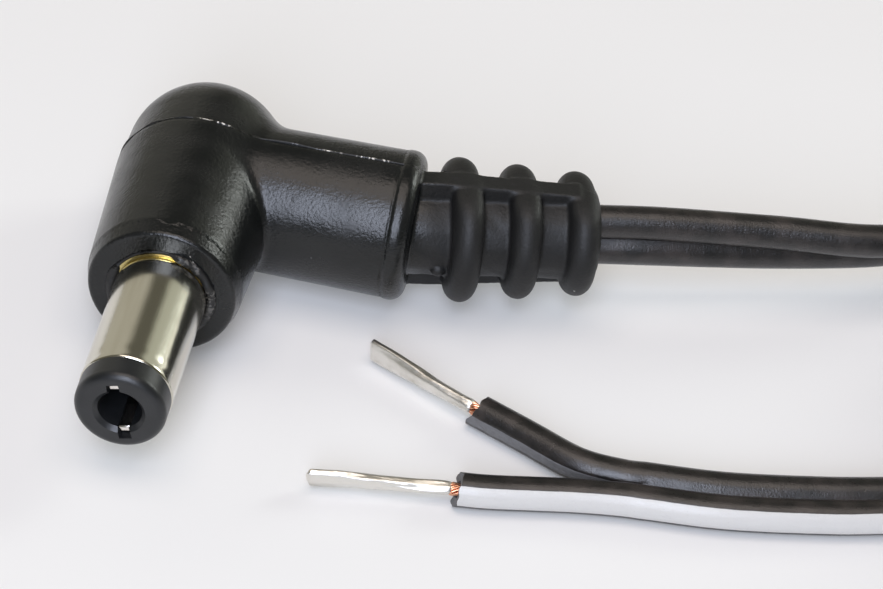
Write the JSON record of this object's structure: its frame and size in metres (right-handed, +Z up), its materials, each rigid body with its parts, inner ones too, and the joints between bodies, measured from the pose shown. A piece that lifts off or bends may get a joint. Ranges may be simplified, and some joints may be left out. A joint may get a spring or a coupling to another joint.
{
  "type": "right-angle dc barrel plug with cord",
  "caption": "Right-angle DC barrel plug with a ribbed strain relief, on a flat black cord whose far end is split, stripped and tinned.",
  "frame": {"origin": "barrel axis at the housing's front face", "axes": "-Y along the barrel towards its tip, +X along the arm towards the cord, +Z up, square to the plane of the L"},
  "size_m": [0.1272, 0.0399, 0.0104],
  "materials": {
    "pvc_housing": "satin",
    "pvc_cord": "satin",
    "nickel": "polished",
    "brass": "satin",
    "nose_plastic": "satin",
    "inner_plastic": "matte",
    "laminate": "matte",
    "solder": "satin",
    "copper": "satin",
    "tie_plastic": "matte"
  },
  "bodies": {
    "root": {"housing": "pvc_housing", "inner_mould": "inner_plastic", "barrel_sleeve": "nickel", "sleeve_terminal": "brass", "nose_insulator": "nose_plastic", "fork_contact": "nickel", "rear_disc": "laminate", "sleeve_solder": "solder", "fork_solder": "solder", "sleeve_strands": "copper", "fork_strands": "copper", "cord_in_plug": "pvc_cord", "cord_from_plug": "pvc_cord", "cord_hank": "pvc_cord", "hank_tie": "tie_plastic", "cord_to_leads": "pvc_cord", "plain_leg": "pvc_cord", "striped_leg": "pvc_cord", "plain_copper": "copper", "striped_copper": "copper", "plain_lead": "solder", "striped_lead": "solder"}
  },
  "joints": []
}
